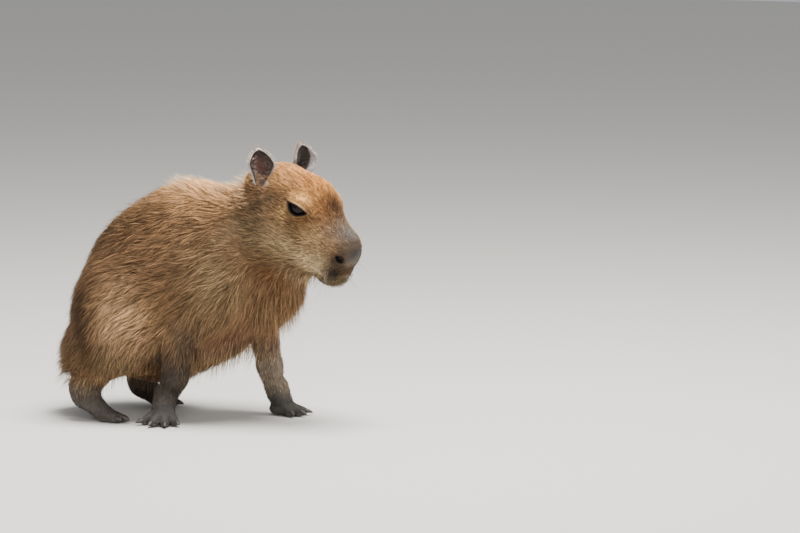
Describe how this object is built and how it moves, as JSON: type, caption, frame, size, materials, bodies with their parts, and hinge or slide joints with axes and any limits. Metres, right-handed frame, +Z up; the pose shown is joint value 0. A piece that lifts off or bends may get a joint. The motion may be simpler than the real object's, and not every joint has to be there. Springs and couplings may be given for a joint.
{
  "type": "young capybara, a still life-size model",
  "caption": "A young capybara crouched on its haunches with straight fore legs and its head turned a little, a still life-size display model of the animal with its coat.",
  "frame": {"origin": "middle of the model's footprint box, at the level of the soles", "axes": "+X the way that the body faces, +Y to the animal's own left, +Z up"},
  "size_m": [0.3326, 0.1772, 0.2775],
  "materials": {
    "coat": "coarse brown hair",
    "leg_skin": "grey-brown skin with very short hair",
    "ear_skin": "thin grey-brown skin with short hair",
    "eye": "wet dark eye",
    "claw": "dull horn"
  },
  "bodies": {
    "root": {"claw_forefoot_left_1": "claw", "claw_forefoot_left_2": "claw", "claw_forefoot_left_3": "claw", "claw_forefoot_left_4": "claw", "claw_forefoot_right_1": "claw", "claw_forefoot_right_2": "claw", "claw_forefoot_right_3": "claw", "claw_forefoot_right_4": "claw", "claw_hindfoot_left_1": "claw", "claw_hindfoot_left_2": "claw", "claw_hindfoot_left_3": "claw", "claw_hindfoot_right_1": "claw", "claw_hindfoot_right_2": "claw", "claw_hindfoot_right_3": "claw", "ear_left": "ear_skin", "ear_right": "ear_skin", "eye_left": "eye", "eye_right": "eye", "forefoot_left": "leg_skin", "forefoot_right": "leg_skin", "foreleg_left": "leg_skin", "foreleg_right": "leg_skin", "head": "coat", "hindfoot_left": "leg_skin", "hindfoot_right": "leg_skin", "hindleg_left": "coat", "hindleg_right": "coat", "neck": "coat", "torso": "coat"}
  },
  "joints": []
}
